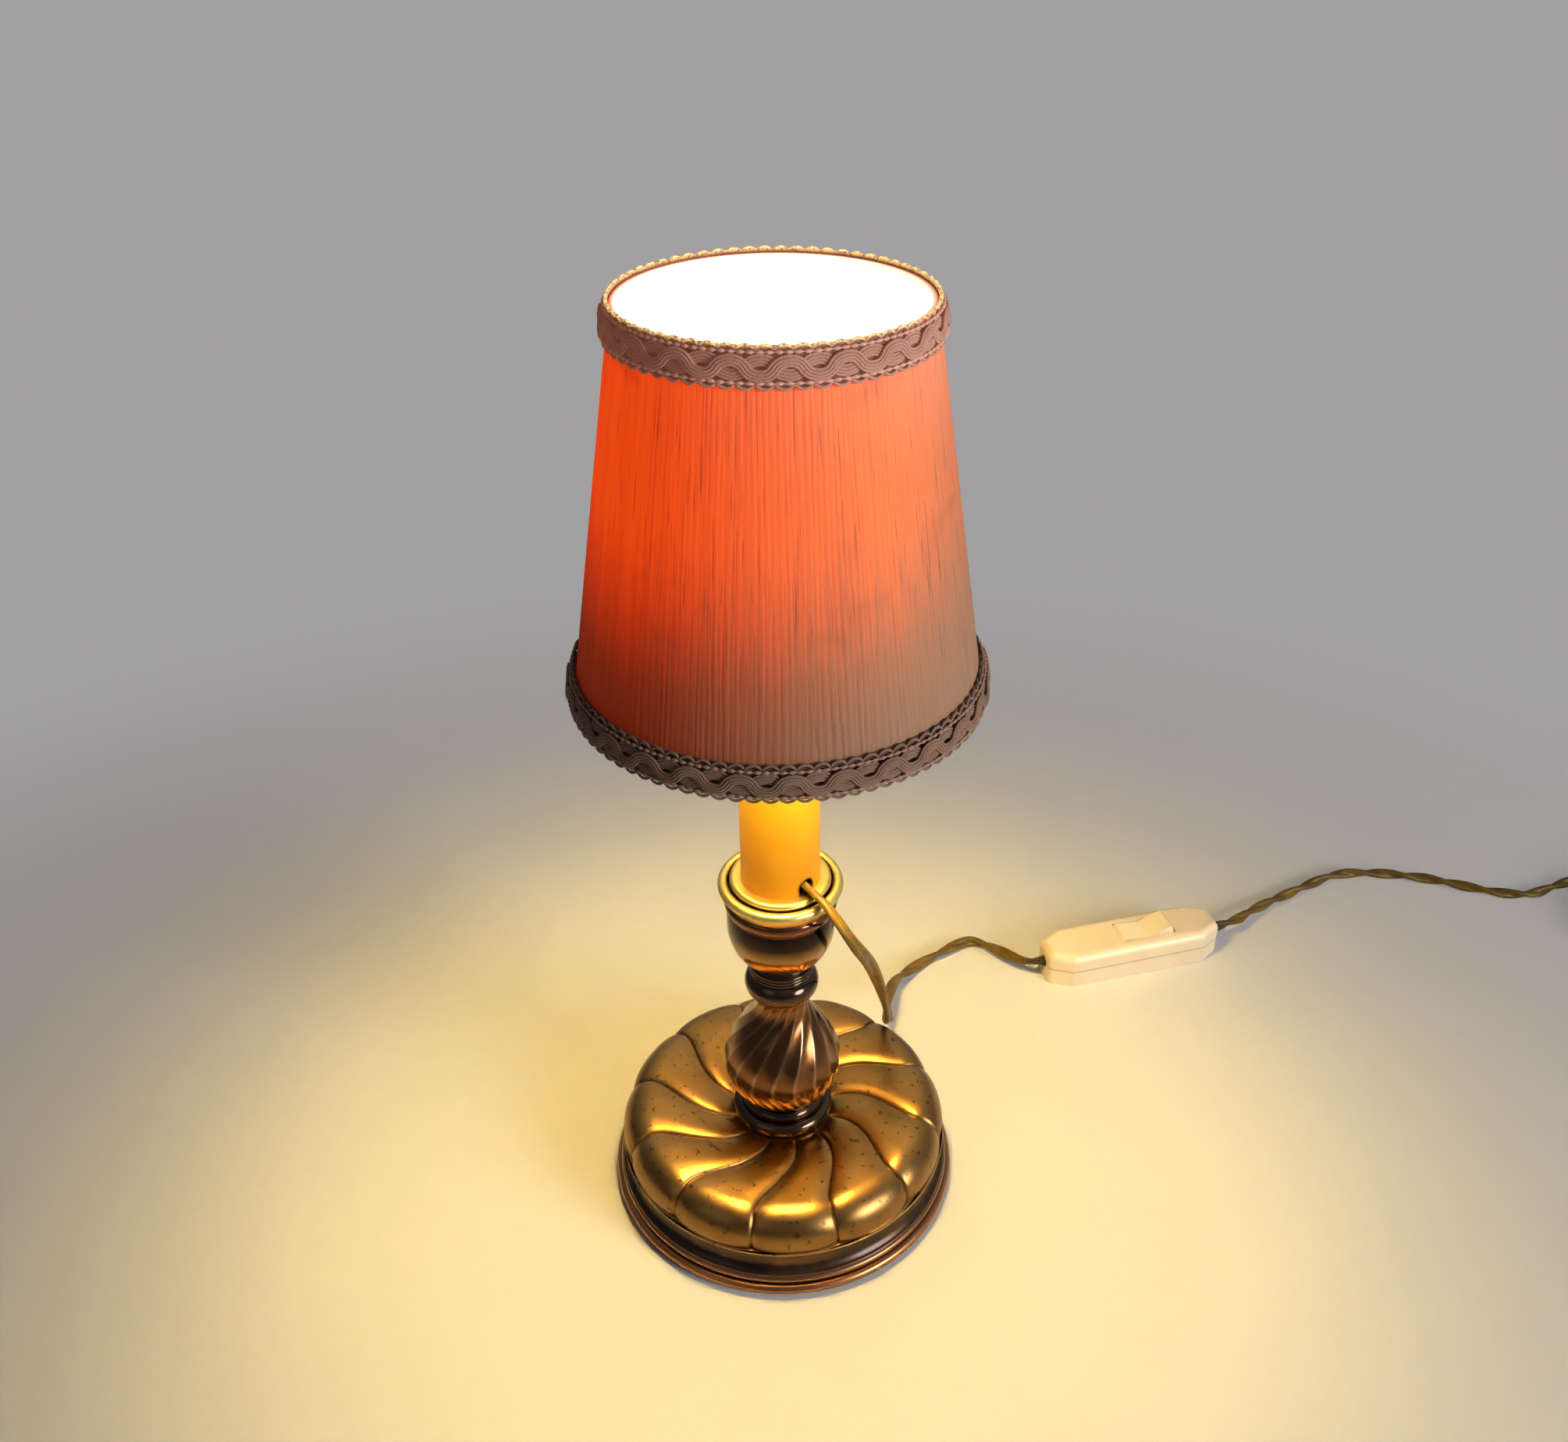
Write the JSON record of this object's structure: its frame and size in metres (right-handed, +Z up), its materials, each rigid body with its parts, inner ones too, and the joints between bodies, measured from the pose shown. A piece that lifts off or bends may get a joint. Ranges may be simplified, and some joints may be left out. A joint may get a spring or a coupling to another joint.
{
  "type": "table lamp",
  "caption": "Small brass candlestick table lamp with a swirled domed foot, ribbed knop, candle sleeve, clip-on pleated fabric shade and a flat cord with an in-line rocker switch and a plug.",
  "frame": {"origin": "centre of the felt underside of the foot, on the table, on the lamp's axis", "axes": "+Z up along the lamp's axis, -Y towards the viewer, +X to the right, the side where the lead lies"},
  "size_m": [0.5057, 0.2183, 0.3141],
  "materials": {
    "dark_bronze": "dark brown patinated brass, polished",
    "golden_brass": "antique golden brass, polished on the raised parts",
    "felt": "dark green felt",
    "iron": "raw cast iron",
    "steel": "zinc-plated steel",
    "contact_brass": "bright stamped brass",
    "sleeve_ivory": "ivory candle sleeve, slightly translucent",
    "holder_plastic": "black moulded plastic",
    "core_wire": "insulated wire",
    "cap_glass": "dark glass insulator",
    "bulb_metal": "nickel-plated screw cap",
    "bulb_opal": "opal frosted glass",
    "filament": "wire on a glass stem",
    "shade_wire": "white lacquered wire",
    "shade_fabric": "salmon pink pleated fabric",
    "shade_lining": "pale backing",
    "trim_braid": "mauve-brown braid",
    "switch_ivory": "ivory moulded plastic",
    "cord_gold": "translucent brown-gold sheath",
    "tie_strap": "soft strap",
    "plug_ivory": "ivory moulded plastic",
    "pin_brass": "plated brass"
  },
  "bodies": {
    "lamp": {"base_foot": "dark_bronze", "felt_pad": "felt", "base_weight": "iron", "base_washer": "steel", "base_nut": "steel", "stem_rod": "steel", "base_dome": "golden_brass", "lower_collar": "dark_bronze", "swirl_knop": "dark_bronze", "neck_collar": "dark_bronze", "candle_cup": "dark_bronze", "drip_ring": "golden_brass", "sleeve_seat": "golden_brass", "clamp_nut": "contact_brass", "candle_sleeve": "sleeve_ivory", "holder_bracket": "steel", "holder_screw": "steel", "holder_body": "holder_plastic", "holder_thread": "contact_brass", "centre_contact": "contact_brass", "terminal_screws": "contact_brass", "holder_cores": "core_wire", "switch_base": "switch_ivory", "switch_cover": "switch_ivory", "rocker_pin": "steel", "case_screws": "steel", "switch_terminals": "contact_brass", "switch_terminal_screws": "contact_brass", "lamp_lead": "cord_gold", "mains_lead": "cord_gold", "lead_coil": "cord_gold", "coil_tie": "tie_strap", "plug_relief": "plug_ivory", "plug_body": "plug_ivory", "plug_pins": "pin_brass"},
    "bulb_tip": {"bulb_contact": "bulb_metal"},
    "bulb": {"cap_insulator": "cap_glass", "bulb_cap": "bulb_metal", "bulb_glass": "bulb_opal", "bulb_filament": "filament"},
    "shade_clip": {"bulb_clip": "steel"},
    "shade": {"shade_carrier": "shade_wire", "tilt_rivet": "steel", "shade_top_ring": "shade_wire", "shade_bottom_ring": "shade_wire", "shade_struts": "shade_wire", "shade_cover": "shade_fabric", "shade_lining": "shade_lining", "bottom_trim": "trim_braid", "top_trim": "trim_braid"},
    "rocker": {"switch_rocker": "switch_ivory", "contact_bridge": "contact_brass"}
  },
  "joints": [
    {"name": "bulb_rise", "type": "slide", "parent": "lamp", "child": "bulb_tip", "axis": [0, 0, 1], "range_m": [0, 0.0099]},
    {"name": "bulb_turn", "type": "hinge", "parent": "bulb_tip", "child": "bulb", "pos_m": [0, 0, 0.2226], "axis": [0, 0, 1], "range_deg": [0, 1260]},
    {"name": "shade_lift", "type": "slide", "parent": "bulb", "child": "shade_clip", "axis": [0, 0, 1], "range_m": [0, 0.12]},
    {"name": "shade_tilt", "type": "hinge", "parent": "shade_clip", "child": "shade", "pos_m": [0, 0, 0.2865], "axis": [1, 0, 0], "range_deg": [-12, 12]},
    {"name": "rocker_tilt", "type": "hinge", "parent": "lamp", "child": "rocker", "pos_m": [0.15231, 0.10448, 0.0118], "axis": [-0.247, 0.969, 0], "range_deg": [0, 16]}
  ],
  "couplings": [
    {"joint": "bulb_rise", "follows": "bulb_turn", "m_per_rad": 0.00044917}
  ]
}
